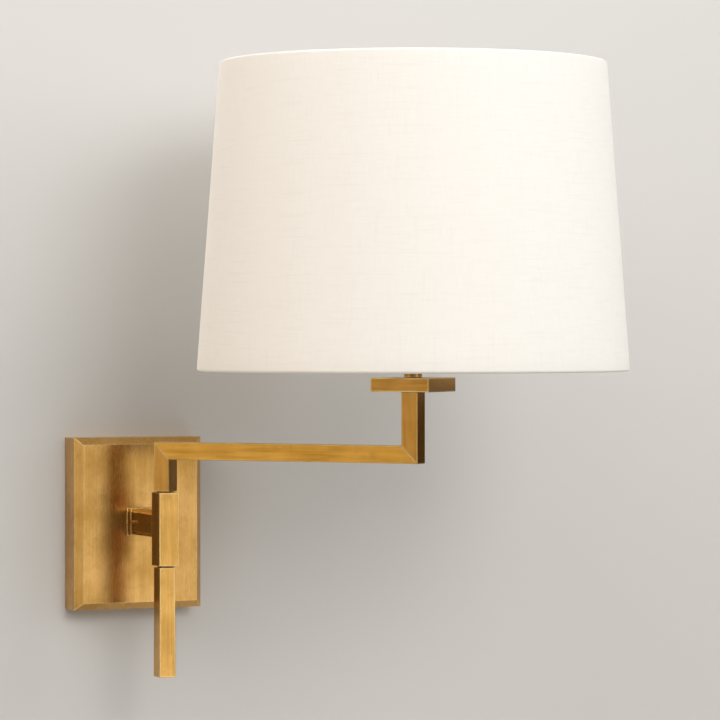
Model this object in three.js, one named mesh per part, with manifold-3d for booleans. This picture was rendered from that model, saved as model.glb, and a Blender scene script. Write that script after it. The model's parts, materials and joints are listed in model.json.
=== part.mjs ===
// A swing arm wall sconce: a bevelled brass backplate on a wall strap, a square stem, a pivot block with a
// bar below it, a mitred square-tube arm, and a lampholder under a tapered linen drum shade.
// Millimetres. The wall is the plane y = 0, the room is towards -Y, +X is to the right and +Z is up.
import * as THREE from "three";
import { mergeVertices } from "three/addons/utils/BufferGeometryUtils.js";
import Module from "manifold-3d";

const wasm = await Module();
wasm.setup();

// Driving dimensions.
const GAP = 0.2; // between two pieces that bear on each other
const EDGE = 0.3; // broken edge on the square brass bars
const BORE_WALL = 1.5; // wall of the square brass tubes
const WELD = 1e-4; // vertices nearer than this are one vertex
const PAST = 1; // how far a cutting tool runs past the face it opens

const PLATE = { width: 101, height: 128.2, side: 19.5, bevel: 6.5, inset: 5.2, wall: 1.6 };
const STEM = { width: 15.2, height: 19.4, z: 1.3, bore: 4.2, chamfer: 2.6 };
const FLANGE = { width: 23.4, height: 20.6, depth: 1.6 };
const COLLAR = { width: 18.8, height: 20, depth: 1.7 };
const BLOCK = { width: 15.6, depth: 15.6, height: 53.8, z: -1.9, bore: 5.6 };
const PIVOT_Y = -76.1; // the swing axis stands this far from the wall
const BAR = { top: 12.1, bottom: 12.6, length: 80.4, gap: 1.2, x: -0.7, spacer: 9.4 }; // hangs left of axis
const ARM = { size: 12.7, length: 201, z: 55.7, turn: -50.7 };
const MITRE_GAP = 0.2;
const CUP = { size: 45.4, thickness: 10, bottom: 100.4 };
const NECK = { radius: 6.5, height: 9.6 };
const SHADE = { bottomRadius: 153.5, topRadius: 137.2, height: 219.2, bottom: 114.8, skin: 1 };
const WIRE = { radius: 1.5, inset: 1.9, hem: 2, sides: 6 };
const FITTER = { inner: 20.4, outer: 28, thickness: 2, z: 148.3, spokes: 3, spokeRadius: 1.7 };
const FLEX = { radius: 2.2, bend: 6.5, step: 5 };
const NIPPLE = { radius: 4.7, bore: 3.2 };
const SLOT = { width: 0.8, depth: 0.5 }; // driver slot of every screw

const SMALL = 12; // sides of a small turned piece
const ROUND = 24; // sides of a turned piece
const HEXAGON = 6;
const FINE = 72; // sides of the shade

const plateFront = -(PLATE.side + PLATE.bevel);
const blockBack = PIVOT_Y + BLOCK.depth / 2;
const blockTop = BLOCK.z + BLOCK.height / 2;
const blockBottom = BLOCK.z - BLOCK.height / 2;
const cupTop = CUP.bottom + CUP.thickness;
const half = ARM.size / 2;

const materials = {
  brass: new THREE.MeshStandardMaterial({ color: 0xb98a45, roughness: 0.38, metalness: 1 }),
  turnedBrass: new THREE.MeshStandardMaterial({ color: 0xc79a52, roughness: 0.3, metalness: 1 }),
  steel: new THREE.MeshStandardMaterial({ color: 0xb4b6b8, roughness: 0.4, metalness: 1 }),
  nylon: new THREE.MeshStandardMaterial({ color: 0xe8e4d8, roughness: 0.6, metalness: 0 }),
  terminal: new THREE.MeshStandardMaterial({ color: 0xf0eee6, roughness: 0.55, metalness: 0 }),
  ceramic: new THREE.MeshStandardMaterial({ color: 0xf3efe4, roughness: 0.35, metalness: 0 }),
  flex: new THREE.MeshStandardMaterial({ color: 0xc9a86a, roughness: 0.6, metalness: 0 }),
  bulbGlass: new THREE.MeshStandardMaterial({ color: 0xf8f6ee, roughness: 0.25, metalness: 0 }),
  linen: new THREE.MeshStandardMaterial({ color: 0xf4ede0, roughness: 0.9, metalness: 0 }),
  wire: new THREE.MeshStandardMaterial({ color: 0xe9e6df, roughness: 0.45, metalness: 0.2 }),
};

// Solids: three.js makes every shape, and manifold-3d joins and cuts them.
function solidOf(geometry) {
  const bare = geometry.clone();
  bare.deleteAttribute("normal");
  bare.deleteAttribute("uv");
  const merged = mergeVertices(bare, WELD);
  const vertProperties = new Float32Array(merged.attributes.position.array);
  const triVerts = new Uint32Array(merged.index.array);
  return new wasm.Manifold(new wasm.Mesh({ numProp: 3, vertProperties, triVerts }));
}

function geometryOf(solid) {
  const mesh = solid.getMesh();
  const geometry = new THREE.BufferGeometry();
  geometry.setAttribute("position", new THREE.BufferAttribute(mesh.vertProperties, 3));
  geometry.setIndex(new THREE.BufferAttribute(mesh.triVerts, 1));
  const faceted = geometry.toNonIndexed();
  faceted.computeVertexNormals();
  return faceted;
}

function cut(geometry, ...tools) {
  return geometryOf(tools.reduce((left, tool) => left.subtract(solidOf(tool)), solidOf(geometry)));
}

function join(geometry, ...others) {
  return geometryOf(others.reduce((sum, other) => sum.add(solidOf(other)), solidOf(geometry)));
}

// Basic shapes, each placed by its centre or its ends.
function box(x, y, z, width, depth, height) {
  return new THREE.BoxGeometry(width, depth, height).translate(x, y, z);
}

function rodZ(radius, from, to, x = 0, y = 0, sides = ROUND) {
  const rod = new THREE.CylinderGeometry(radius, radius, to - from, sides).rotateX(Math.PI / 2);
  return rod.translate(x, y, (from + to) / 2);
}

function rodY(radius, from, to, x = 0, z = 0, sides = ROUND) {
  const rod = new THREE.CylinderGeometry(radius, radius, to - from, sides);
  return rod.translate(x, (from + to) / 2, z);
}

function rodX(radius, from, to, y = 0, z = 0, sides = ROUND) {
  const rod = new THREE.CylinderGeometry(radius, radius, to - from, sides).rotateZ(Math.PI / 2);
  return rod.translate((from + to) / 2, y, z);
}

// A rectangle with its corners cut, centred on the origin.
function cutRectangle(width, height, corner) {
  const [x, y] = [width / 2, height / 2];
  const outline = new THREE.Shape();
  outline.moveTo(-x + corner, -y);
  outline.lineTo(x - corner, -y);
  outline.lineTo(x, -y + corner);
  outline.lineTo(x, y - corner);
  outline.lineTo(x - corner, y);
  outline.lineTo(-x + corner, y);
  outline.lineTo(-x, y - corner);
  outline.lineTo(-x, -y + corner);
  outline.closePath();
  return outline;
}

function rectangle(width, height) {
  const [x, y] = [width / 2, height / 2];
  return new THREE.Shape([
    new THREE.Vector2(-x, -y),
    new THREE.Vector2(x, -y),
    new THREE.Vector2(x, y),
    new THREE.Vector2(-x, y),
  ]);
}

// A bar standing on z = 0 with every edge broken.
function bar(width, depth, length, edge = EDGE) {
  const geometry = new THREE.ExtrudeGeometry(cutRectangle(width, depth, edge), {
    depth: length - 2 * edge,
    bevelEnabled: true,
    bevelThickness: edge,
    bevelSize: edge,
    bevelOffset: -edge,
    bevelSegments: 1,
  });
  return geometry.translate(0, 0, edge);
}

// A piece turned about the Z axis. The profile lists [radius, height] pairs, up the outside first.
function turned(profile, sides = ROUND) {
  const points = profile.map(([radius, height]) => new THREE.Vector2(radius, height));
  return new THREE.LatheGeometry(points, sides).rotateX(Math.PI / 2);
}

// A plain ring between two radii and two heights.
function ring(inner, outer, from, to, sides = ROUND) {
  return turned([[inner, from], [outer, from], [outer, to], [inner, to], [inner, from]], sides);
}

// Runs a length of flex along a path.
function flexAlong(path) {
  const section = new THREE.Shape();
  section.absarc(0, 0, FLEX.radius, 0, 2 * Math.PI, false);
  const steps = Math.ceil(path.getLength() / FLEX.step);
  return new THREE.ExtrudeGeometry(section, { steps, extrudePath: path, curveSegments: SMALL / 3 });
}

// A path through corners, each one rounded by a quadratic bend.
function roundedPath(corners, bend) {
  const path = new THREE.CurvePath();
  let from = corners[0];
  for (let i = 1; i < corners.length - 1; i += 1) {
    const corner = corners[i];
    const into = corner.clone().sub(from).normalize().multiplyScalar(bend);
    const out = corners[i + 1].clone().sub(corner).normalize().multiplyScalar(bend);
    const start = corner.clone().sub(into);
    const end = corner.clone().add(out);
    path.add(new THREE.LineCurve3(from, start));
    path.add(new THREE.QuadraticBezierCurve3(start, corner, end));
    from = end;
  }
  path.add(new THREE.LineCurve3(from, corners[corners.length - 1]));
  return path;
}

function piece(parent, name, geometry, material) {
  const mesh = new THREE.Mesh(geometry, material);
  mesh.name = name;
  parent.add(mesh);
  return mesh;
}

const sconce = new THREE.Group();

// Backplate: a pressed shell, open at the wall, with a bevel round its front face.
function bevelledBlock(width, height, front, bevel, inset) {
  const depth = 2 * PLATE.side;
  const geometry = new THREE.ExtrudeGeometry(rectangle(width, height), {
    depth,
    bevelEnabled: true,
    bevelThickness: bevel,
    bevelSize: inset,
    bevelOffset: -inset,
    bevelSegments: 1,
  });
  return geometry.rotateX(Math.PI / 2).translate(0, front + bevel + depth, 0);
}

const COVER_SCREW = { radius: 1.5, head: 2.8, y: -9, length: 8 }; // countersunk at 90 degrees

// A cover screw's outline, standing upright with its head flush with the plate's top edge.
function coverScrew(clearance, past) {
  const face = PLATE.height / 2;
  const neck = face - (COVER_SCREW.head - COVER_SCREW.radius);
  const radius = COVER_SCREW.radius + clearance;
  const foot = face - COVER_SCREW.length - past;
  const head = COVER_SCREW.head + clearance + past;
  return turned([[0, foot], [radius, foot], [radius, neck], [head, face + past], [0, face + past]]);
}

// The same piece at the top edge and, turned over, at the bottom edge.
function atBothEdges(geometry) {
  return [0, Math.PI].map((turn) => geometry.clone().rotateX(turn).translate(0, COVER_SCREW.y, 0));
}

function makeBackplate() {
  const behindWall = box(0, PLATE.side * 2, 0, PLATE.width * 2, PLATE.side * 4, PLATE.height * 2);
  const inner = bevelledBlock(
    PLATE.width - 2 * PLATE.wall,
    PLATE.height - 2 * PLATE.wall,
    plateFront + PLATE.wall,
    PLATE.bevel,
    PLATE.inset,
  );
  const outer = bevelledBlock(PLATE.width, PLATE.height, plateFront, PLATE.bevel, PLATE.inset);
  const nippleHole = rodY(NIPPLE.radius + GAP, plateFront - PAST, plateFront + 2 * PLATE.wall, 0, STEM.z);
  const screwHoles = atBothEdges(coverScrew(GAP, PAST));
  piece(sconce, "backplate", cut(outer, behindWall, inner, nippleHole, ...screwHoles), materials.brass);
}

// Wall strap: a steel bar with two turned-in ears that the cover screws pull the backplate onto.
const STRAP = { width: 20, thickness: 2, ear: 14, screwZ: 46, slot: 2.6 };
const EARTH = { radius: 1.8, head: 3.2, headHeight: 2, z: 24 };

function makeWallStrap() {
  const height = PLATE.height - 2 * PLATE.wall - 2 * GAP;
  const earZ = height / 2 - STRAP.thickness / 2;
  const back = box(0, -STRAP.thickness / 2, 0, STRAP.width, STRAP.thickness, height);
  const ears = [1, -1].map((side) =>
    box(0, -STRAP.ear / 2, side * earZ, STRAP.width, STRAP.ear, STRAP.thickness),
  );
  const earHoles = rodZ(COVER_SCREW.radius + GAP, -height, height, 0, COVER_SCREW.y);
  const wallHoles = [1, -1].map((side) =>
    rodY(STRAP.slot, -2 * STRAP.thickness, STRAP.thickness, 0, side * STRAP.screwZ),
  );
  const earthHole = rodY(EARTH.radius + GAP, -2 * STRAP.thickness, STRAP.thickness, 0, EARTH.z);
  const strap = cut(join(back, ...ears), earHoles, earthHole, ...wallHoles);
  piece(sconce, "wall_strap", strap, materials.steel);
}

function makeCoverScrews() {
  const slot = box(0, 0, PLATE.height / 2, 2 * COVER_SCREW.head + PAST, SLOT.width, 2 * SLOT.depth);
  const [top, bottom] = atBothEdges(cut(coverScrew(0, 0), slot));
  piece(sconce, "cover_screw_top", top, materials.turnedBrass);
  piece(sconce, "cover_screw_bottom", bottom, materials.turnedBrass);
}

// Terminal block: three brass-screwed ways for line, neutral and earth.
const TERMINAL = { z: -34, depth: 12, height: 14, pitch: 8, wire: 1.6, hole: 2.2 };
const TERMINAL_SCREW = { radius: 1.8, length: 3, sunk: 1 };

function makeTerminals() {
  const ways = [-1, 0, 1];
  const back = -STRAP.thickness - GAP;
  const middle = back - TERMINAL.depth / 2;
  const [foot, head] = [TERMINAL.z - TERMINAL.height, TERMINAL.z + TERMINAL.height];
  const wireHoles = ways.map((way) => rodZ(TERMINAL.wire, foot, head, way * TERMINAL.pitch, middle, SMALL));
  const screwHoles = ways.map((way) =>
    rodY(TERMINAL.hole, back - TERMINAL.depth - PAST, middle, way * TERMINAL.pitch, TERMINAL.z, SMALL),
  );
  const body = bar((ways.length + 0.1) * TERMINAL.pitch, TERMINAL.depth, TERMINAL.height);
  body.translate(0, middle, TERMINAL.z - TERMINAL.height / 2);
  piece(sconce, "terminal_block", cut(body, ...wireHoles, ...screwHoles), materials.terminal);
  ["line", "neutral", "earth"].forEach((name, i) => {
    const x = ways[i] * TERMINAL.pitch;
    const front = back - TERMINAL.depth + TERMINAL_SCREW.sunk;
    const screw = rodY(TERMINAL_SCREW.radius, front, front + TERMINAL_SCREW.length, x, TERMINAL.z, SMALL);
    const slot = box(x, front, TERMINAL.z, 2 * TERMINAL_SCREW.radius + PAST, 2 * SLOT.depth, SLOT.width);
    piece(sconce, "terminal_screw_" + name, cut(screw, slot), materials.turnedBrass);
  });
  const earthFront = back - EARTH.headHeight;
  const earthHead = rodY(EARTH.head, earthFront, back, 0, EARTH.z);
  const earthShank = rodY(EARTH.radius, earthFront + SLOT.depth, -GAP, 0, EARTH.z, SMALL);
  const earthSlot = box(0, earthFront, EARTH.z, 2 * EARTH.head + PAST, 2 * SLOT.depth, SLOT.width);
  piece(sconce, "earth_screw", cut(join(earthHead, earthShank), earthSlot), materials.turnedBrass);
}

// Stem: flange, collar and square stem, drawn onto the backplate by a threaded nipple and nut.
const stemBack = plateFront - GAP - FLANGE.depth - COLLAR.depth - 2 * GAP;
const NIPPLE_BACK = -13;
const NIPPLE_DEPTH = 12;
const NUT = { across: 7.6, thickness: 3.4, washer: 9.5, washerThickness: 1.2 };

const LOCK_SCREW = { radius: 1.1, head: 3, reach: 2.4, setBack: 2 };

// A square plate on the stem's axis, from y towards the room.
function stemPlate(size, y, hole) {
  const plate = bar(size.width, size.height, size.depth).rotateX(Math.PI / 2);
  return cut(plate.translate(0, y, STEM.z), rodY(hole, y - 2 * size.depth, y + size.depth, 0, STEM.z));
}

function makeStem() {
  const hole = NIPPLE.radius + GAP;
  const flangeY = plateFront - GAP;
  piece(sconce, "stem_flange", stemPlate(FLANGE, flangeY, hole), materials.brass);
  const collarY = flangeY - FLANGE.depth - GAP;
  piece(sconce, "stem_collar", stemPlate(COLLAR, collarY, hole), materials.brass);

  const stemLength = stemBack - blockBack - GAP;
  const section = cutRectangle(STEM.width, STEM.height, STEM.chamfer);
  const stem = new THREE.ExtrudeGeometry(section, { depth: stemLength, bevelEnabled: false });
  stem.rotateX(Math.PI / 2).translate(0, stemBack, STEM.z);
  const throughBore = rodY(STEM.bore, blockBack - PAST, stemBack + PAST, 0, STEM.z);
  const nippleBore = rodY(hole, stemBack - NIPPLE_DEPTH - GAP, stemBack + PAST, 0, STEM.z);
  const side = -STEM.width / 2;
  const screwY = stemBack - LOCK_SCREW.setBack;
  const screwHole = rodX(LOCK_SCREW.radius + GAP, side - PAST, 0, screwY, STEM.z, SMALL);
  piece(sconce, "stem", cut(stem, throughBore, nippleBore, screwHole), materials.brass);

  const end = side - LOCK_SCREW.head;
  const lockScrew = rodX(LOCK_SCREW.radius, end, side + LOCK_SCREW.reach, screwY, STEM.z, SMALL);
  const slot = box(end, screwY, STEM.z, 2 * SLOT.depth, 2 * LOCK_SCREW.radius + PAST, SLOT.width);
  piece(sconce, "stem_lock_screw", cut(lockScrew, slot), materials.turnedBrass);

  const nipple = rodY(NIPPLE.radius, stemBack - NIPPLE_DEPTH, NIPPLE_BACK, 0, STEM.z);
  const nippleHole = rodY(NIPPLE.bore, stemBack - NIPPLE_DEPTH - PAST, NIPPLE_BACK + PAST, 0, STEM.z);
  piece(sconce, "stem_nipple", cut(nipple, nippleHole), materials.steel);

  const washerY = plateFront + PLATE.wall + GAP;
  const washer = rodY(NUT.washer, washerY, washerY + NUT.washerThickness, 0, STEM.z);
  const washerHole = rodY(hole, washerY - PAST, washerY + 2 * NUT.washerThickness, 0, STEM.z);
  piece(sconce, "stem_washer", cut(washer, washerHole), materials.steel);
  const nutY = washerY + NUT.washerThickness + GAP;
  const nut = rodY(NUT.across, nutY, nutY + NUT.thickness, 0, STEM.z, HEXAGON);
  const nutHole = rodY(hole, nutY - PAST, nutY + 2 * NUT.thickness, 0, STEM.z);
  piece(sconce, "stem_nut", cut(nut, nutHole), materials.steel);
}

// Pivot block, with two bushes, and the bar that hangs from a plug in its foot.
const BUSH = { inner: 4.15, upperLength: 12, lowerTop: -9.5, lowerLength: 7 };
const PLUG = { length: 5.6, stud: 2.9, studLength: 12 };

function makePivotBlock() {
  const body = bar(BLOCK.width, BLOCK.depth, BLOCK.height).translate(0, PIVOT_Y, blockBottom);
  const bore = rodZ(BLOCK.bore, blockBottom - PAST, blockTop + PAST, 0, PIVOT_Y);
  const flexHole = rodY(STEM.bore, PIVOT_Y, blockBack + PAST, 0, STEM.z);
  piece(sconce, "pivot_block", cut(body, bore, flexHole), materials.brass);
  const outer = BLOCK.bore - GAP;
  const upper = ring(BUSH.inner, outer, blockTop - BUSH.upperLength, blockTop - GAP);
  piece(sconce, "upper_bush", upper.translate(0, PIVOT_Y, 0), materials.nylon);
  const lower = ring(BUSH.inner, outer, BUSH.lowerTop - BUSH.lowerLength, BUSH.lowerTop);
  piece(sconce, "lower_bush", lower.translate(0, PIVOT_Y, 0), materials.nylon);
}

// Narrows a bar evenly towards its upper end, where z = 0, from full size at z = -length.
function taper(geometry, length, ratio) {
  const position = geometry.attributes.position;
  for (let i = 0; i < position.count; i += 1) {
    const rise = 1 + position.getZ(i) / length;
    const scale = 1 + (ratio - 1) * rise;
    position.setXY(i, position.getX(i) * scale, position.getY(i) * scale);
  }
  return geometry;
}

function makeLowerBar() {
  const plug = rodZ(BLOCK.bore - GAP, blockBottom, blockBottom + PLUG.length, 0, PIVOT_Y);
  const barTop = blockBottom - BAR.gap;
  const stud = rodZ(PLUG.stud, barTop - PLUG.studLength, blockBottom + PAST, 0, PIVOT_Y);
  piece(sconce, "bar_plug", join(plug, stud), materials.turnedBrass);

  const spacer = bar(BAR.spacer, BAR.spacer, BAR.gap - 2 * GAP, GAP).translate(0, PIVOT_Y, barTop + GAP);
  const studHole = rodZ(PLUG.stud + GAP, barTop - PLUG.studLength - PAST, blockBottom + PAST, 0, PIVOT_Y);
  piece(sconce, "bar_spacer", cut(spacer, studHole), materials.turnedBrass);

  const body = bar(BAR.bottom, BAR.bottom, BAR.length).translate(0, 0, -BAR.length);
  taper(body, BAR.length, BAR.top / BAR.bottom).translate(BAR.x, PIVOT_Y, barTop);
  piece(sconce, "lower_bar", cut(body, studHole), materials.brass);
}

// Feed flex: from the terminal block, through the nipple and stem, into the pivot block.
function makeFeedFlex() {
  const y = NIPPLE_BACK + 2 * FLEX.radius;
  const corners = [
    new THREE.Vector3(0, y, TERMINAL.z + TERMINAL.height / 2 + PAST),
    new THREE.Vector3(0, y, STEM.z),
    new THREE.Vector3(0, PIVOT_Y + BLOCK.bore - PAST, STEM.z),
  ];
  piece(sconce, "feed_flex", flexAlong(roundedPath(corners, FLEX.bend)), materials.flex);
}

// The arm's own frame: its origin is on the swing axis at the wall centre's height, +X runs along the arm.
const arm = new THREE.Group();
arm.position.set(0, PIVOT_Y, 0);
arm.rotation.z = THREE.MathUtils.degToRad(ARM.turn);
sconce.add(arm);

const THRUST = { radius: 6, thickness: 0.3 };
const postBottom = blockTop + THRUST.thickness + 2 * GAP;
const SPINDLE = { play: 0.05, thread: 2.9, bore: 2.6, foot: 7, root: 10, tail: 0.6, window: 12 };
const SPRING = { radius: 5.1, height: 1.2 };
const LOCK_NUT = { across: 5.1, thickness: 3.6 };

function makeSpindle() {
  const plug = half - BORE_WALL - GAP;
  const shoulder = BUSH.lowerTop - BUSH.lowerLength;
  const nutTop = shoulder - SPRING.height;
  const bottom = nutTop - LOCK_NUT.thickness - SPINDLE.tail;
  const shaft = rodZ(BUSH.inner - SPINDLE.play, shoulder, postBottom + PAST);
  const thread = rodZ(SPINDLE.thread, bottom, shoulder + PAST);
  const root = box(0, 0, postBottom + SPINDLE.root / 2, 2 * plug, 2 * plug, SPINDLE.root);
  const bore = rodZ(SPINDLE.bore, STEM.z - SPINDLE.foot, postBottom + SPINDLE.root + PAST);
  const window = box(-SPINDLE.window / 4, 0, STEM.z, SPINDLE.window / 2, SPINDLE.window, SPINDLE.window);
  piece(arm, "pivot_spindle", cut(join(shaft, thread, root), bore, window), materials.turnedBrass);

  const thrust = ring(BUSH.inner + GAP, THRUST.radius, blockTop + GAP, blockTop + GAP + THRUST.thickness);
  piece(arm, "thrust_washer", thrust, materials.turnedBrass);
  const spring = ring(SPINDLE.thread + GAP, SPRING.radius, nutTop + GAP, shoulder - GAP);
  piece(arm, "spring_washer", spring, materials.steel);
  const nut = rodZ(LOCK_NUT.across, nutTop - LOCK_NUT.thickness, nutTop, 0, 0, HEXAGON);
  const nutHole = rodZ(SPINDLE.thread + GAP, nutTop - 2 * LOCK_NUT.thickness, nutTop + PAST);
  piece(arm, "lock_nut", cut(nut, nutHole), materials.steel);
}

// Everything on one side of the 45 degree mitre plane through (x, ARM.z), as a block to cut away.
function mitreCutter(x, side) {
  const size = 6 * ARM.size;
  const wedge = box(0, 0, 0, size, size, size).translate((side * (size - MITRE_GAP)) / 2, 0, 0);
  return wedge.rotateY(-Math.PI / 4).translate(x, 0, ARM.z);
}

// A square brass tube standing on z = from, at x along the arm.
function uprightTube(x, from, to) {
  const hollow = ARM.size - 2 * BORE_WALL;
  const length = to - from;
  const tube = bar(ARM.size, ARM.size, length).translate(x, 0, from);
  return cut(tube, box(x, 0, (from + to) / 2, hollow, hollow, length + 2 * PAST));
}

function makeArm() {
  const hollow = ARM.size - 2 * BORE_WALL;
  const post = uprightTube(0, postBottom, ARM.z + ARM.size);
  piece(arm, "inner_post", cut(post, mitreCutter(0, 1)), materials.brass);

  const length = ARM.length + 2 * ARM.size;
  const tube = bar(ARM.size, ARM.size, length).rotateY(Math.PI / 2).translate(-ARM.size, 0, ARM.z);
  const tubeBore = box(ARM.length / 2, 0, ARM.z, length + 2 * PAST, hollow, hollow);
  const ends = [mitreCutter(0, -1), mitreCutter(ARM.length, 1)];
  piece(arm, "arm_tube", cut(tube, tubeBore, ...ends), materials.brass);

  const rise = uprightTube(ARM.length, ARM.z - ARM.size, CUP.bottom - GAP);
  piece(arm, "end_post", cut(rise, mitreCutter(ARM.length, -1)), materials.brass);
}

// The lamp's frame: its origin is on the lampholder's axis.
const lamp = new THREE.Group();
lamp.position.set(ARM.length, 0, 0);
arm.add(lamp);

const neckTop = cupTop + GAP + NECK.height;
const HOLDER = { radius: 19.5, wall: 1.7, capHeight: 17.5, bodyHeight: 34, shoulder: 23, shoulderHeight: 2 };
const HOLDER_CAP = [[8.5, 0], [14, 3.5], [18, 8], [19.5, 13]]; // radius and height up the cap's outside
const SHELL = { inner: 13.8, outer: 14.5, floor: 12, lip: 1.5 };
const CONTACT = { radius: 2.6, spring: [8, 4, 0.8], depth: 3, rise: 1.6 };
const BULB_CAP = [[4.5, 0], [5, 1], [10.5, 3.5], [13.2, 5], [13.2, 23]];
const GLOBE = { radius: 30, rise: 50, from: -52, steps: 10, skin: 1, neck: [[13, 0], [13.6, 8]] };
const capBottom = neckTop + GAP;
const bodyBottom = capBottom + HOLDER.capHeight + GAP;
const bodyTop = bodyBottom + HOLDER.bodyHeight;

function makeCup() {
  const plate = bar(CUP.size, CUP.size, CUP.thickness).translate(0, 0, CUP.bottom);
  const hole = rodZ(NIPPLE.radius + GAP, CUP.bottom - PAST, cupTop + PAST);
  piece(lamp, "cup_plate", cut(plate, hole), materials.brass);
  const neck = ring(NIPPLE.radius + GAP, NECK.radius, cupTop + GAP, neckTop);
  piece(lamp, "neck_sleeve", neck, materials.brass);
  const nutBottom = capBottom + HOLDER.wall + GAP;
  const nippleTop = nutBottom + NUT.thickness + PAST;
  const nipple = ring(NIPPLE.bore, NIPPLE.radius, CUP.bottom - NIPPLE_DEPTH, nippleTop);
  piece(lamp, "lamp_nipple", nipple, materials.steel);
  const nut = rodZ(NUT.across, nutBottom, nutBottom + NUT.thickness, 0, 0, HEXAGON);
  const nutHole = rodZ(NIPPLE.radius + GAP, nutBottom - PAST, nutBottom + 2 * NUT.thickness);
  piece(lamp, "holder_nut", cut(nut, nutHole), materials.steel);
}

function makeHolder() {
  const { radius, wall } = HOLDER;
  const rim = capBottom + HOLDER.capHeight;
  const hole = NIPPLE.radius + GAP;
  const outside = HOLDER_CAP.map(([r, z]) => [r, capBottom + z]);
  const inside = HOLDER_CAP.slice(1).map(([r, z]) => [r - wall, capBottom + z + wall / 2]);
  const cap = [[hole, capBottom], ...outside, [radius, rim], [radius - wall, rim]];
  const floorEdge = [HOLDER_CAP[0][0], capBottom + wall];
  cap.push(...inside.reverse(), floorEdge, [hole, capBottom + wall], [hole, capBottom]);
  piece(lamp, "holder_cap", turned(cap), materials.turnedBrass);

  const shoulderTop = FITTER.z - GAP;
  const shoulderFoot = shoulderTop - HOLDER.shoulderHeight;
  const body = [
    [radius - wall, bodyBottom],
    [radius, bodyBottom],
    [radius, shoulderFoot],
    [HOLDER.shoulder, shoulderFoot],
    [HOLDER.shoulder, shoulderTop],
    [radius, shoulderTop],
    [radius, bodyTop],
    [radius - wall, bodyTop],
    [radius - wall, bodyBottom],
  ];
  piece(lamp, "holder_body", turned(body), materials.turnedBrass);

  const floor = bodyBottom + SHELL.floor;
  const insert = ring(CONTACT.radius + GAP, radius - wall - GAP, bodyBottom + PAST, floor);
  piece(lamp, "holder_insert", insert, materials.ceramic);
  const shell = ring(SHELL.inner, SHELL.outer, floor + GAP, bodyTop - SHELL.lip);
  piece(lamp, "screw_shell", shell, materials.turnedBrass);
  const stud = rodZ(CONTACT.radius, floor - CONTACT.depth, floor + CONTACT.rise, 0, 0, SMALL);
  const spring = box(0, 0, floor + CONTACT.rise, ...CONTACT.spring);
  piece(lamp, "centre_contact", join(stud, spring), materials.turnedBrass);
  return floor + CONTACT.rise + CONTACT.spring[2] / 2 + GAP;
}

function makeBulb(bottom) {
  const cap = [[0, bottom], ...BULB_CAP.map(([r, z]) => [r, bottom + z])];
  const capTop = cap[cap.length - 1][1];
  piece(lamp, "bulb_cap", turned([...cap, [0, capTop]]), materials.turnedBrass);

  const neck = capTop + GAP;
  const side = (inset) => {
    const radius = GLOBE.radius - inset;
    const throat = GLOBE.neck.map(([r, z]) => [r - inset, neck + z]);
    const arc = Array.from({ length: GLOBE.steps }, (_, i) => {
      const angle = THREE.MathUtils.degToRad(GLOBE.from + ((90 - GLOBE.from) * i) / GLOBE.steps);
      return [radius * Math.cos(angle), neck + GLOBE.rise + radius * Math.sin(angle)];
    });
    return [...throat, ...arc, [0, neck + GLOBE.rise + radius]];
  };
  const outside = side(0);
  const profile = [...outside, ...side(GLOBE.skin).reverse(), outside[0]];
  piece(lamp, "bulb_globe", turned(profile), materials.bulbGlass);
}

// Arm flex: up the spindle, along the arm and up the end post to the lampholder.
function makeArmFlex() {
  const corners = [
    new THREE.Vector3(0, 0, STEM.z - SPINDLE.foot + FLEX.radius),
    new THREE.Vector3(0, 0, ARM.z),
    new THREE.Vector3(ARM.length, 0, ARM.z),
    new THREE.Vector3(ARM.length, 0, bodyBottom - 2 * FLEX.radius),
  ];
  piece(arm, "arm_flex", flexAlong(roundedPath(corners, FLEX.bend)), materials.flex);
}

// Shade: a linen skin on two wire rings, carried by a fitter ring and spokes on the lampholder.
const shade = new THREE.Group();
lamp.add(shade);

function shadeRadius(z) {
  const rise = (z - SHADE.bottom) / SHADE.height;
  return SHADE.bottomRadius + (SHADE.topRadius - SHADE.bottomRadius) * rise;
}

function wireRing(z) {
  const radius = shadeRadius(z) - SHADE.skin - WIRE.inset;
  const section = Array.from({ length: WIRE.sides + 1 }, (_, i) => {
    const angle = (2 * Math.PI * (i % WIRE.sides)) / WIRE.sides;
    return [radius + WIRE.radius * Math.cos(angle), z + WIRE.radius * Math.sin(angle)];
  });
  return turned(section, FINE);
}

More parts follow.
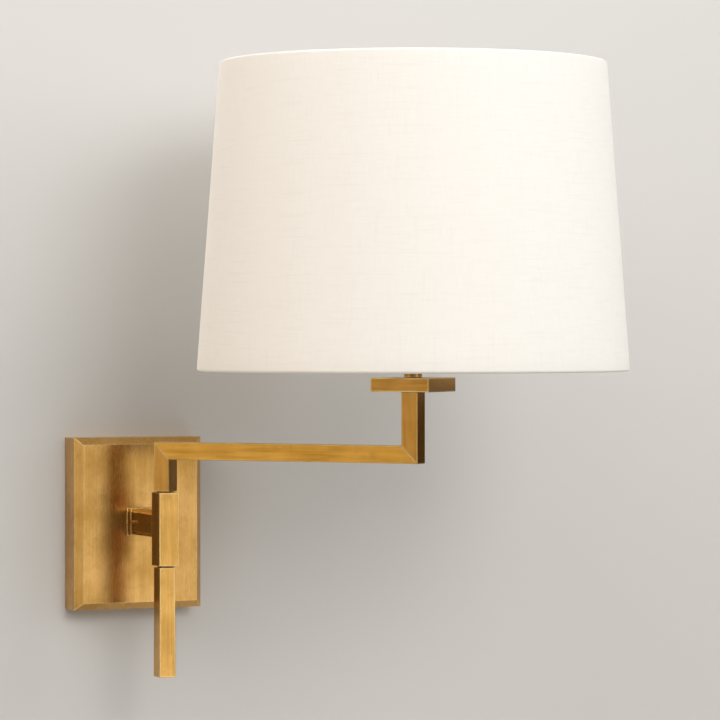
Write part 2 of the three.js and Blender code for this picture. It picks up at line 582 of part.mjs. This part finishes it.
function makeShade() {
  const top = SHADE.bottom + SHADE.height;
  const cover = [
    [SHADE.bottomRadius - SHADE.skin, SHADE.bottom],
    [SHADE.bottomRadius, SHADE.bottom],
    [SHADE.topRadius, top],
    [SHADE.topRadius - SHADE.skin, top],
    [SHADE.bottomRadius - SHADE.skin, SHADE.bottom],
  ];
  piece(shade, "shade_cover", turned(cover, FINE), materials.linen);
  const ringZ = SHADE.bottom + WIRE.hem;
  piece(shade, "bottom_wire_ring", wireRing(ringZ), materials.wire);
  piece(shade, "top_wire_ring", wireRing(top - WIRE.hem), materials.wire);

  const fitter = ring(FITTER.inner, FITTER.outer, FITTER.z, FITTER.z + FITTER.thickness, FINE / 2);
  piece(shade, "fitter_ring", fitter, materials.wire);
  const inner = new THREE.Vector2(FITTER.outer + GAP, FITTER.z + FITTER.thickness / 2);
  const outer = new THREE.Vector2(shadeRadius(ringZ) - SHADE.skin - WIRE.inset - WIRE.radius - 2 * GAP, ringZ);
  outer.y += WIRE.radius / 2;
  const length = inner.distanceTo(outer);
  const slope = Math.atan2(outer.y - inner.y, outer.x - inner.x);
  for (let i = 0; i < FITTER.spokes; i += 1) {
    const spoke = rodX(FITTER.spokeRadius, FITTER.spokeRadius, length - FITTER.spokeRadius, 0, 0, SMALL);
    spoke.rotateY(-slope).translate(inner.x, 0, inner.y);
    spoke.rotateZ((2 * Math.PI * i) / FITTER.spokes);
    piece(shade, "fitter_spoke_" + (i + 1), spoke, materials.wire);
  }
}

const CLAMP = { radius: 26, height: 6 };

function makeShadeRing() {
  const z = FITTER.z + FITTER.thickness + GAP;
  const clamp = ring(HOLDER.radius + GAP, CLAMP.radius, z, z + CLAMP.height, FINE / 2);
  piece(lamp, "shade_ring", clamp, materials.turnedBrass);
}

makeBackplate();
makeWallStrap();
makeCoverScrews();
makeTerminals();
makeStem();
makePivotBlock();
makeLowerBar();
makeFeedFlex();
makeSpindle();
makeArm();
makeCup();
makeBulb(makeHolder());
makeArmFlex();
makeShade();
makeShadeRing();

export default sconce;
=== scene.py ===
import json
import math

import bmesh
import bpy
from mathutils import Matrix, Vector


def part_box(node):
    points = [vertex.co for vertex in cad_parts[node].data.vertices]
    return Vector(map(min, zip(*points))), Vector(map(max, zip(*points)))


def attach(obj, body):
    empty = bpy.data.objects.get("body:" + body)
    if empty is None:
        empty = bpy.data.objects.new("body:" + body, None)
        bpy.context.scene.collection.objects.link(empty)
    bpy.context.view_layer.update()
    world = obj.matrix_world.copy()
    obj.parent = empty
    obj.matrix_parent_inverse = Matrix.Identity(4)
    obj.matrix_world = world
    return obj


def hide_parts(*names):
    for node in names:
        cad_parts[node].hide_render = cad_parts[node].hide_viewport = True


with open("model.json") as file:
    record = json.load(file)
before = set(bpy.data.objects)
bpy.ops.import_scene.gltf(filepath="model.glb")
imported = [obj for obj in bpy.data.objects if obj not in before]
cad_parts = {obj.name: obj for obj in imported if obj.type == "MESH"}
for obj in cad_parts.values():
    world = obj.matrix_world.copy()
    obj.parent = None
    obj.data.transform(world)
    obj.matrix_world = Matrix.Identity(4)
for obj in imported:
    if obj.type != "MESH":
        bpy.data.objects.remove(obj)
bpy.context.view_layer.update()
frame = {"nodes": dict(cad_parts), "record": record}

MM = 0.001
FULL_TURN = 2 * math.pi

# ---------------------------------------------------------------- camera
CAMERA_PLACE = Vector((-0.981, -2.564, 0.1435))
CAMERA_YAW = 0.429       # radians, from +Y towards +X
CAMERA_PITCH = -0.008    # radians, above the horizon
CAMERA_LENS = 182.0      # mm, on a 36 mm sensor
SENSOR = 36.0

# ---------------------------------------------------------------- brass
SIDEWAYS, OUTWARD, UPRIGHT = 0, 1, 2       # axes that brass is brushed along
ALONG, ACROSS = 9.0, 1900.0                # brushed lines: noise scales, per metre
PATCH_ALONG, PATCH_ACROSS = 18.0, 330.0    # long patches in the patina
PALE_BRASS = (0.67, 0.385, 0.112), (0.47, 0.25, 0.046)      # light and dark tones of the brass itself
# The next three are copies of the same brass, lighter for the plate and darker for the arm, and for the
# posts and cup, set to how light falls on each: painted light and shade.
LIT_PLATE_BRASS = (0.70, 0.41, 0.135), (0.49, 0.262, 0.055)
SHADED_ARM_BRASS = (0.61, 0.325, 0.062), (0.46, 0.225, 0.030)
SHADED_DEEP_BRASS = (0.52, 0.270, 0.062), (0.36, 0.172, 0.028)
# lighter colour for rubbed edges, also the painted edge highlight; brown for stains
WORN_AND_HIGHLIT_BRASS, BRASS_BROWN = (1.0, 0.79, 0.39), (0.24, 0.12, 0.03)
WORN_AND_HIGHLIT_WIDTH = 1.5 * MM    # how far from an edge the patina is rubbed off and a painted highlight is laid
EDGE_RADIUS = 0.3 * MM

# ---------------------------------------------------------------- shade
LINEN_LIGHT, LINEN_DARK, LINEN_SLUB = (0.965, 0.93, 0.875), (0.92, 0.875, 0.805), (0.86, 0.81, 0.735)
LINER_LIGHT, LINER_DARK = (0.9, 0.885, 0.855), (0.84, 0.825, 0.79)
CLOTH = 0.4 * MM         # thickness of the linen
LINER = 0.4 * MM
LINER_GAP = 0.05 * MM
ROLL = 1.75 * MM         # the cloth's own radius where it is rolled round a wire ring
TUCK = 0.2 * MM          # how far the rolled edge ends past its wire
TUCK_IN = 0.3 * MM       # the top one ends this much closer to the middle
SEAM = 11.0 * MM         # width of the overlap down the back
RISES = 20               # rows of faces up the side

# ---------------------------------------------------------------- stage and lights
WALL_PAINT, FLOOR_PAINT = (0.70, 0.674, 0.637), (0.74, 0.72, 0.69)
FLAG_CLOTH = (0.19, 0.155, 0.08)
AIM = Vector((0.07, -0.15, 0.12))
REACH = 2.8              # metres from the aim to a softbox
WHITE, WARM, AMBER, COOL = (1.0, 1.0, 1.0), (1.0, 0.95, 0.86), (1.0, 0.71, 0.45), (0.83, 0.90, 1.0)


def make_camera():
    data = bpy.data.cameras.new("camera")
    data.lens = CAMERA_LENS
    data.sensor_width = SENSOR
    data.clip_start, data.clip_end = 0.1, 60.0
    camera = bpy.data.objects.new("camera", data)
    bpy.context.scene.collection.objects.link(camera)
    aim = Vector((
        math.sin(CAMERA_YAW) * math.cos(CAMERA_PITCH),
        math.cos(CAMERA_YAW) * math.cos(CAMERA_PITCH),
        math.sin(CAMERA_PITCH),
    ))
    camera.location = CAMERA_PLACE
    camera.rotation_mode = "QUATERNION"
    camera.rotation_quaternion = aim.to_track_quat("-Z", "Y")
    bpy.context.scene.camera = camera


# ---------------------------------------------------------------- node helpers
class Nodes:
    """A short way to write a material's node tree."""

    def __init__(self, name):
        self.material = bpy.data.materials.new(name)
        self.material.use_nodes = True
        self.tree = self.material.node_tree
        self.tree.nodes.clear()
        self.output = self.tree.nodes.new("ShaderNodeOutputMaterial")

    def add(self, kind, inputs=None, **settings):
        node = self.tree.nodes.new("ShaderNode" + kind)
        for key, value in settings.items():
            setattr(node, key, value)
        for key, value in (inputs or {}).items():
            self.feed(node, key, value)
        return node

    def feed(self, node, key, value):
        """Gives an input a link, a number or a colour."""
        socket = node.inputs[key]
        if isinstance(value, bpy.types.NodeSocket):
            self.tree.links.new(value, socket)
        else:
            socket.default_value = value

    def place(self):
        return self.add("TexCoord").outputs["Object"]

    def cloth_place(self):
        """Metres round and along a sheet."""
        return self.add("UVMap", uv_map="cloth").outputs["UV"]

    def turned(self, vector, angle):
        rotation = (0.0, 0.0, angle)
        return self.add("Mapping", {"Vector": vector, "Rotation": rotation}).outputs["Vector"]

    def noise(self, vector, scale, detail=2.0, roughness=0.5):
        """Noise with one scale, or with a scale for each axis. Scales are per metre."""
        if isinstance(scale, tuple):
            vector = self.add("Mapping", {"Vector": vector, "Scale": scale}).outputs["Vector"]
            scale = 1.0
        node = self.add("TexNoise", {
            "Vector": vector, "Scale": scale, "Detail": detail, "Roughness": roughness,
        })
        return node.outputs["Fac"]

    def ramp(self, value, *stops):
        """Colours or grey levels at places from 0 to 1."""
        node = self.add("ValToRGB", {"Fac": value})
        elements = node.color_ramp.elements
        while len(elements) > 1:
            elements.remove(elements[-1])
        for i, (place, level) in enumerate(stops):
            element = elements[0] if i == 0 else elements.new(place)
            element.position = place
            element.color = (*level, 1.0) if isinstance(level, tuple) else (level, level, level, 1.0)
        return node.outputs["Color"]

    def mix(self, factor, a, b):
        node = self.add("Mix", data_type="RGBA")
        self.feed(node, 0, factor)
        self.feed(node, 6, a)
        self.feed(node, 7, b)
        return node.outputs[2]

    def math(self, operation, a, b):
        return self.add("Math", {0: a, 1: b}, operation=operation).outputs[0]

    def dot(self, a, b):
        return self.add("VectorMath", {0: a, 1: b}, operation="DOT_PRODUCT").outputs["Value"]

    def bump(self, height, distance, strength, normal=None):
        node = self.add("Bump", {"Height": height, "Distance": distance, "Strength": strength})
        if normal is not None:
            self.feed(node, "Normal", normal)
        return node.outputs["Normal"]

    def softened(self, radius):
        """The normal of a surface whose edges are rounded off."""
        return self.add("Bevel", {"Radius": radius}, samples=6).outputs["Normal"]

    def surface(self, **inputs):
        named = {key.replace("_", " "): value for key, value in inputs.items()}
        shader = self.add("BsdfPrincipled", named)
        self.tree.links.new(shader.outputs["BSDF"], self.output.inputs["Surface"])
        return self.material


# ---------------------------------------------------------------- materials
def along_axis(axis, along, across):
    """Texture scales that make a pattern long on one axis and fine on the other two."""
    return tuple(along if i == axis else across for i in range(3))


def scaled(color, factor):
    return tuple(c * factor for c in color)


def aged_brass(name, axis, turn=0.0, tones=PALE_BRASS, polish=0.23, wear_and_highlight=1.0, lines=0.24, streaks=0.2,
               relief=0.5):
    """Satin brass, brushed along an axis, with patina clouds, long streaks, stains, and edges painted
    lighter: partly worn patina, partly a painted highlight.
    """
    n = Nodes(name)
    light, dark = tones
    place = n.turned(n.place(), turn)
    clouds = n.noise(place, 30.0, 4.0, 0.6)
    specks = n.noise(place, 380.0, 3.0, 0.6)
    stains = n.noise(place, 75.0, 3.0, 0.7)
    scratches = n.noise(place, along_axis(axis, ALONG, ACROSS), 4.0, 0.65)
    patches = n.noise(place, along_axis(axis, PATCH_ALONG, PATCH_ACROSS), 3.0, 0.6)

    tone = n.ramp(n.mix(0.12, clouds, specks), (0.32, dark), (0.60, light))
    brushed = n.mix(lines, tone, n.ramp(scratches, (0.35, dark), (0.65, light)))
    streak = n.ramp(patches, (0.40, scaled(dark, 0.7)), (0.60, scaled(light, 1.2)))
    streaked = n.mix(streaks, brushed, streak)
    stained = n.mix(n.ramp(stains, (0.58, 0.0), (0.74, 0.35)), streaked, (*BRASS_BROWN, 1.0))

    flat = n.add("NewGeometry").outputs["Normal"]
    # Lighter along every edge, inner corners too: rubbed patina and a painted highlight.
    edge = n.ramp(n.dot(n.softened(WORN_AND_HIGHLIT_WIDTH), flat), (0.93, wear_and_highlight), (0.995, 0.0))
    rubbed_and_highlit = n.math("MULTIPLY", edge, n.ramp(stains, (0.25, 0.35), (0.6, 1.0)))
    return n.surface(
        Base_Color=n.mix(rubbed_and_highlit, stained, (*WORN_AND_HIGHLIT_BRASS, 1.0)),
        Metallic=1.0,
        Roughness=n.ramp(n.mix(0.5, clouds, scratches), (0.3, polish + 0.04), (0.7, polish - 0.04)),
        Normal=n.bump(scratches, 0.01 * MM, relief, n.softened(EDGE_RADIUS)),
    )


def simple_metal(name, color, roughness, metallic=1.0):
    """A turned or pressed metal with faint stains and tool rings."""
    n = Nodes(name)
    place = n.place()
    stains = n.noise(place, 140.0, 3.0, 0.6)
    rings = n.noise(place, (40.0, 40.0, 3000.0))
    uneven = n.mix(0.5, stains, rings)
    return n.surface(
        Base_Color=n.ramp(stains, (0.3, scaled(color, 0.82)), (0.7, color)),
        Metallic=metallic,
        Roughness=n.ramp(uneven, (0.3, roughness + 0.06), (0.7, roughness - 0.06)),
        Normal=n.bump(rings, 0.01 * MM, 0.5, n.softened(0.2 * MM)),
    )


def moulded(name, color, roughness):
    """A moulded, glazed or painted piece with a fine uneven surface."""
    n = Nodes(name)
    uneven = n.noise(n.place(), 300.0, 3.0)
    return n.surface(
        Base_Color=n.ramp(uneven, (0.3, scaled(color, 0.93)), (0.7, color)),
        Roughness=n.ramp(uneven, (0.3, roughness + 0.06), (0.7, roughness - 0.04)),
        Normal=n.bump(uneven, 0.03 * MM, 0.4),
    )


def linen(name):
    """Fine off-white linen: threads both ways, with longer slubs along them."""
    n = Nodes(name)
    place = n.cloth_place()
    warp = n.noise(place, (1700.0, 80.0, 1.0), 3.0, 0.6)
    weft = n.noise(place, (60.0, 1700.0, 1.0), 3.0, 0.6)
    slubs = n.noise(place, (22.0, 700.0, 1.0))
    upright_slubs = n.noise(place, (600.0, 24.0, 1.0))
    body = n.noise(place, (9.0, 9.0, 1.0))
    threads = n.mix(0.5, warp, weft)

    tone = n.ramp(threads, (0.34, LINEN_DARK), (0.60, LINEN_LIGHT))
    slubbed = n.mix(n.ramp(slubs, (0.58, 0.0), (0.70, 0.36)), tone, (*LINEN_SLUB, 1.0))
    crossed = n.mix(n.ramp(upright_slubs, (0.58, 0.0), (0.72, 0.26)), slubbed, (*LINEN_SLUB, 1.0))
    return n.surface(
        Base_Color=n.mix(0.10, crossed, n.ramp(body, (0.35, LINEN_DARK), (0.65, LINEN_LIGHT))),
        Roughness=0.9,
        Normal=n.bump(n.mix(0.3, threads, slubs), 0.1 * MM, 0.45),
        Sheen_Weight=0.12,
        Sheen_Roughness=0.5,
    )


def styrene(name):
    """The white liner: smooth laminate with a faint orange peel and hairline scuffs."""
    n = Nodes(name)
    place = n.cloth_place()
    peel = n.noise(place, (350.0, 350.0, 1.0), 3.0)
    scuffs = n.noise(place, (12.0, 500.0, 1.0), 3.0, 0.7)
    return n.surface(
        Base_Color=n.ramp(n.mix(0.4, peel, scuffs), (0.3, LINER_DARK), (0.65, LINER_LIGHT)),
        Roughness=n.ramp(scuffs, (0.3, 0.5), (0.7, 0.36)),
        Normal=n.bump(peel, 0.04 * MM, 0.4),
    )


def plain_stage(name, color, shows_from_behind=True):
    """Matt paint for the stage. A wall that doesn't show from behind lets lamps through too."""
    n = Nodes(name)
    mottle = n.noise(n.place(), 1.6)
    shader = n.add("BsdfPrincipled", {
        "Base Color": n.ramp(mottle, (0.3, scaled(color, 0.97)), (0.7, color)), "Roughness": 0.9,
    })
    surface = shader.outputs["BSDF"]
    if not shows_from_behind:
        behind = n.add("NewGeometry").outputs["Backfacing"]
        shadow = n.add("LightPath").outputs["Is Shadow Ray"]
        clear = n.add("BsdfTransparent").outputs["BSDF"]
        mixed = n.add("MixShader", {"Fac": n.math("MAXIMUM", behind, shadow), 1: surface, 2: clear})
        surface = mixed.outputs["Shader"]
    n.tree.links.new(surface, n.output.inputs["Surface"])
    return n.material


# ---------------------------------------------------------------- meshes
def piece_of(name, bm, body, material):
    """Turns a bmesh into a smooth piece that rides on a body."""
    bmesh.ops.recalc_face_normals(bm, faces=bm.faces)
    mesh = bpy.data.meshes.new(name)
    bm.to_mesh(mesh)
    bm.free()
    for polygon in mesh.polygons:
        polygon.use_smooth = True
    obj = bpy.data.objects.new(name, mesh)
    bpy.context.scene.collection.objects.link(obj)
    obj.data.materials.append(material)
    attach(obj, body)
    return obj


def thicken(path, thickness):
    """A closed outline round a path of (radius, height), and how far along the path each point is."""
    lengths = [0.0]
    for (r0, z0), (r1, z1) in zip(path, path[1:]):
        lengths.append(lengths[-1] + math.hypot(r1 - r0, z1 - z0))
    sides = ([], [])
    for i, (r, z) in enumerate(path):
        (r0, z0), (r1, z1) = path[max(i - 1, 0)], path[min(i + 1, len(path) - 1)]
        length = math.hypot(r1 - r0, z1 - z0)
        across = ((z1 - z0) / length * thickness / 2, -(r1 - r0) / length * thickness / 2)
        sides[0].append((r + across[0], z + across[1]))
        sides[1].append((r - across[0], z - across[1]))
    return sides[0] + sides[1][::-1], lengths + lengths[::-1]


def band(bm, path, thickness, centre, start=0.0, turn=FULL_TURN, sides=240):
    """Sweeps a sheet round a vertical axis. Its path is of (radius, height), and its UVs are in metres."""
    outline, along = thicken(path, thickness)
    layer = bm.loops.layers.uv.get("cloth") or bm.loops.layers.uv.new("cloth")
    closed = turn == FULL_TURN
    mean = sum(r for r, z in outline) / len(outline)
    count = sides if closed else sides + 1
    rows = []
    for radius, height in outline:
        row = []
        for i in range(count):
            angle = start + turn * i / sides
            place = (centre.x + radius * math.cos(angle), centre.y + radius * math.sin(angle), height)
            row.append(bm.verts.new(place))
        rows.append(row)
    for j, row in enumerate(rows):
        above = rows[(j + 1) % len(rows)]
        v0, v1 = along[j], along[(j + 1) % len(rows)]
        for i in range(sides):
            m = (i + 1) % count
            face = bm.faces.new((row[i], row[m], above[m], above[i]))
            u0, u1 = mean * turn * i / sides, mean * turn * (i + 1) / sides
            for loop, place in zip(face.loops, ((u0, v0), (u1, v0), (u1, v1), (u0, v1))):
                loop[layer].uv = place
    if not closed:
        bm.faces.new([row[0] for row in rows])
        bm.faces.new([row[-1] for row in reversed(rows)])


def arc(centre, across, up, start, end, steps=7):
    """Points along an ellipse, between two angles in degrees, without the first."""
    angles = [math.radians(start + (end - start) * i / steps) for i in range(1, steps + 1)]
    return [(centre[0] + across * math.cos(a), centre[1] + up * math.sin(a)) for a in angles]


def finish_part(node, material, crease=35.0):
    """A CAD node keeps its mesh. It gets its material, smooth round faces and flat ones that stay flat."""
    obj = frame["nodes"][node]
    obj.data.materials.clear()
    obj.data.materials.append(material)
    for polygon in obj.data.polygons:
        polygon.use_smooth = True
        polygon.material_index = 0
    weld = obj.modifiers.new("weld", "WELD")
    weld.merge_threshold = 0.002 * MM
    split = obj.modifiers.new("creases", "EDGE_SPLIT")
    split.split_angle = math.radians(crease)
    even = obj.modifiers.new("even_normals", "WEIGHTED_NORMAL")
    even.mode = "CORNER_ANGLE"
    even.keep_sharp = True


def round_off(node):
    """Smooths a turned piece whose outline has no corners."""
    obj = frame["nodes"][node]
    obj.modifiers.remove(obj.modifiers["creases"])
    obj.modifiers.remove(obj.modifiers["even_normals"])
    smoother = obj.modifiers.new("rounder", "SUBSURF")
    smoother.levels = smoother.render_levels = 2


# ---------------------------------------------------------------- shade
def make_shade(cloth, liner):
    """Linen on a white liner, rolled round both wire rings, with an overlapped seam at the back."""
    low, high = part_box("shade_cover")
    centre = (low + high) / 2
    bottom, top = low.z, high.z
    ring_low, ring_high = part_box("bottom_wire_ring")
    top_low, top_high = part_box("top_wire_ring")
    wire = (ring_high.z - ring_low.z) / 2
    foot_radius = (high.x - low.x) / 2
    foot_wire = (ring_high.x - ring_low.x) / 2 - wire
    top_wire = (top_high.x - top_low.x) / 2 - wire
    foot_wire_z, top_wire_z = (ring_low.z + ring_high.z) / 2, (top_low.z + top_high.z) / 2
    lean = (foot_wire - top_wire) / (top_wire_z - foot_wire_z)

    def radius(z):
        return foot_radius - lean * (z - bottom)

    def outside(z):
        return radius(z) - CLOTH / 2

    foot, head = (foot_wire, foot_wire_z), (top_wire, top_wire_z)
    foot_reach, head_reach = outside(foot_wire_z) - foot_wire, outside(top_wire_z) - top_wire
    roll_foot = arc(foot, foot_reach, ROLL, 0, -90) + arc(foot, ROLL, ROLL, -90, -270, 12)
    roll_head = arc(head, head_reach, ROLL, 0, 90) + arc(head, ROLL, ROLL, 90, 270, 12)
    rises = [foot_wire_z + (top_wire_z - foot_wire_z) * i / RISES for i in range(RISES + 1)]
    tuck_foot = (foot_wire + wire, foot_wire_z + ROLL + TUCK)
    tuck_head = (top_wire + wire - TUCK_IN, top_wire_z - ROLL - TUCK)
    path = [tuck_foot] + roll_foot[::-1] + [(outside(z), z) for z in rises] + roll_head + [tuck_head]
    bm = bmesh.new()
    band(bm, path, CLOTH, centre)
    lap = [(radius(z) + CLOTH / 2, z) for z in rises]
    spread = SEAM / foot_radius
    band(bm, lap, CLOTH, centre, math.pi / 2 - spread / 2, spread, 6)
    cover = piece_of("linen_cover", bm, "shade", cloth)
    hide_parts("shade_cover")

    inner = [(outside(z) - CLOTH / 2 - LINER / 2 - LINER_GAP, z) for z in rises[1:-1]]
    bm = bmesh.new()
    band(bm, inner, LINER, centre)
    piece_of("white_liner", bm, "shade", liner)

    return cover


# ---------------------------------------------------------------- stage
def stage_mesh(name, vertices, faces, material):
    mesh = bpy.data.meshes.new(name)
    mesh.from_pydata(vertices, [], faces)
    mesh.materials.append(material)
    obj = bpy.data.objects.new(name, mesh)
    bpy.context.scene.collection.objects.link(obj)
    return obj


def make_stage():
    wide, low, high, forward, back = 5.0, -1.3, 3.2, -5.0, 3.0
    face = 0.4 * MM        # the wall stands just behind the plate
    stage_mesh(
        "wall", [(-wide, face, low), (wide, face, low), (wide, face, high), (-wide, face, high)],
        [(0, 1, 2, 3)], plain_stage("wall_paint", WALL_PAINT, shows_from_behind=False),
    )
    stage_mesh(
        "floor", [(-wide, forward, low), (wide, forward, low), (wide, back, low), (-wide, back, low)],
        [(0, 1, 2, 3)], plain_stage("floor_paint", FLOOR_PAINT),
    )


def make_flag():
    """A folded brown studio flag at the right, against the wall, that only reflections see."""
    x, wall_end, near, far, low, high = 0.36, 1.1, -0.002, -0.62, -0.4, 0.1
    fold = ((wall_end, near), (x, near), (x, far))
    flag = stage_mesh(
        "flag", [(*place, z) for place in fold for z in (low, high)],
        [(0, 2, 3, 1), (2, 4, 5, 3)], plain_stage("flag_cloth", FLAG_CLOTH),
    )
    for sight in ("camera", "diffuse", "transmission", "shadow", "volume_scatter"):
        setattr(flag, "visible_" + sight, False)


# ---------------------------------------------------------------- lights
def area_light(name, place, target, size, power, color=WHITE):
    data = bpy.data.lights.new(name, "AREA")
    data.shape = "RECTANGLE"
    data.size, data.size_y = size
    data.energy = power
    data.color = color
    obj = bpy.data.objects.new(name, data)
    obj.location = place
    obj.rotation_mode = "QUATERNION"
    obj.rotation_quaternion = (Vector(target) - Vector(place)).to_track_quat("-Z", "Y")
    obj.visible_camera = False
    bpy.context.scene.collection.objects.link(obj)
    return obj


def softbox(name, azimuth, height, size, glow, color=WHITE, seen="everywhere", distance=REACH):
    """A soft light aimed at the sconce, placed by angles in degrees from straight in front.

    Its glow is its radiance. It can be seen only by matt surfaces, or only in reflections.
    """
    turn, rise = math.radians(azimuth), math.radians(height)
    away = Vector((math.sin(turn) * math.cos(rise), -math.cos(turn) * math.cos(rise), math.sin(rise)))
    power = math.pi * size[0] * size[1] * glow
    light = area_light(name, AIM + away * distance, AIM, size, power, color)
    light.visible_diffuse = seen != "in reflections"
    light.visible_glossy = seen != "by matt surfaces"
    return light


def make_lights(cover):
    """Studio lights. One of them lights only the shade's cover."""
    world = bpy.data.worlds.new("studio")
    world.use_nodes = True
    background = world.node_tree.nodes["Background"]
    background.inputs["Color"].default_value = (*WARM, 1.0)
    background.inputs["Strength"].default_value = 0.16
    bpy.context.scene.world = world

    broad, square, tall = (2.4, 1.3), (1.3, 1.3), (1.4, 2.0)
    softbox("key", 3, 24, (1.1, 1.0), 4.6, distance=2.9)
    softbox("key_spread", 8, 19, broad, 1.15)
    softbox("front_fill", -8, 18, broad, 0.64, COOL, "by matt surfaces")
    softbox("high_right", 26, 40, broad, 1.8)
    softbox("high_left", -44, 40, (2.0, 1.3), 1.0, WARM)
    softbox("left", -76, -2, tall, 0.84, WARM, "in reflections")
    glow = softbox("left_glow", -84, -2, tall, 1.75, AMBER, "by matt surfaces")
    glow.light_linking.receiver_collection = bpy.data.collections.new("lit_by_left_glow")
    glow.light_linking.receiver_collection.objects.link(cover)
    softbox("low_right", 26, -12, square, 1.22, WHITE, "in reflections")
    softbox("low_fill", 26, -12, square, 0.45, WHITE, "by matt surfaces")
    softbox("right", 54, 14, square, 2.8)

    beside = Vector((-1.3, -0.9, 1.0))
    area_light("upper_left", beside, (-0.2, 0.0, 0.3), (0.8, 0.8), 3.4)
    above = Vector((-0.2, -0.4, 1.0))
    area_light("wall_wash", above, above + Vector((0.0, 0.4, -0.6)), (2.0, 0.5), 3.4, COOL)
    behind = Vector((0.6, 2.4, 1.2))
    area_light("back", behind, AIM, (1.5, 1.5), 4.0)
    direct = area_light("back_direct", behind, AIM, (1.5, 1.5), 22.0)
    direct.data.cycles.max_bounces = 0
    bpy.context.scene.view_settings.view_transform = "Standard"


# ---------------------------------------------------------------- build
make_camera()
cover = make_shade(linen("linen_weave"), styrene("liner_white"))

joints = {joint["name"]: Vector(joint["pos_m"]) for joint in frame["record"]["behaviour"]["joints"]}
reach = joints["shade_turn"] - joints["arm_swing"]
arm_turn = math.atan2(reach.y, reach.x)
brass_post = aged_brass("brass_post", UPRIGHT, -arm_turn, SHADED_DEEP_BRASS, wear_and_highlight=0.5)

FINISH = {
    "antique_brass": aged_brass("brass_brushed_upright", UPRIGHT),
    "turned_brass": simple_metal("brass_turned", (0.66, 0.41, 0.15), 0.27),
    "zinc_steel": simple_metal("zinc", (0.62, 0.63, 0.64), 0.4, metallic=0.7),
    "nylon": moulded("nylon", (0.82, 0.8, 0.72), 0.5),
    "terminal_plastic": moulded("terminal_plastic", (0.85, 0.84, 0.79), 0.4),
    "porcelain": moulded("porcelain", (0.88, 0.86, 0.8), 0.2),
    "flex_sheath": moulded("flex_sheath", (0.56, 0.42, 0.2), 0.55),
    "bulb_metal": simple_metal("bulb_cap_metal", (0.76, 0.76, 0.75), 0.3),
    "opal_glass": moulded("opal_glass", (0.93, 0.92, 0.88), 0.18),
    "white_wire": moulded("white_powder_coat", (0.82, 0.81, 0.78), 0.42),
}
BRASS = {
    "backplate": aged_brass(
        "brass_plate", UPRIGHT, tones=LIT_PLATE_BRASS, polish=0.27, wear_and_highlight=0.65, lines=0.1, streaks=0.1,
        relief=0.25,
    ),
    "stem": aged_brass("brass_brushed_outward", OUTWARD),
    "arm_tube": aged_brass("brass_arm", SIDEWAYS, -arm_turn, SHADED_ARM_BRASS, wear_and_highlight=0.5, streaks=0.28),
    "cup_plate": aged_brass("brass_cup", SIDEWAYS, -arm_turn, SHADED_DEEP_BRASS),
    "inner_post": brass_post,
    "end_post": brass_post,
}
for part in frame["record"]["subparts"]:
    if part["material_slot"] in FINISH:
        finish_part(part["node"], BRASS.get(part["node"], FINISH[part["material_slot"]]))
round_off("bulb_globe")

make_stage()
make_flag()
make_lights(cover)
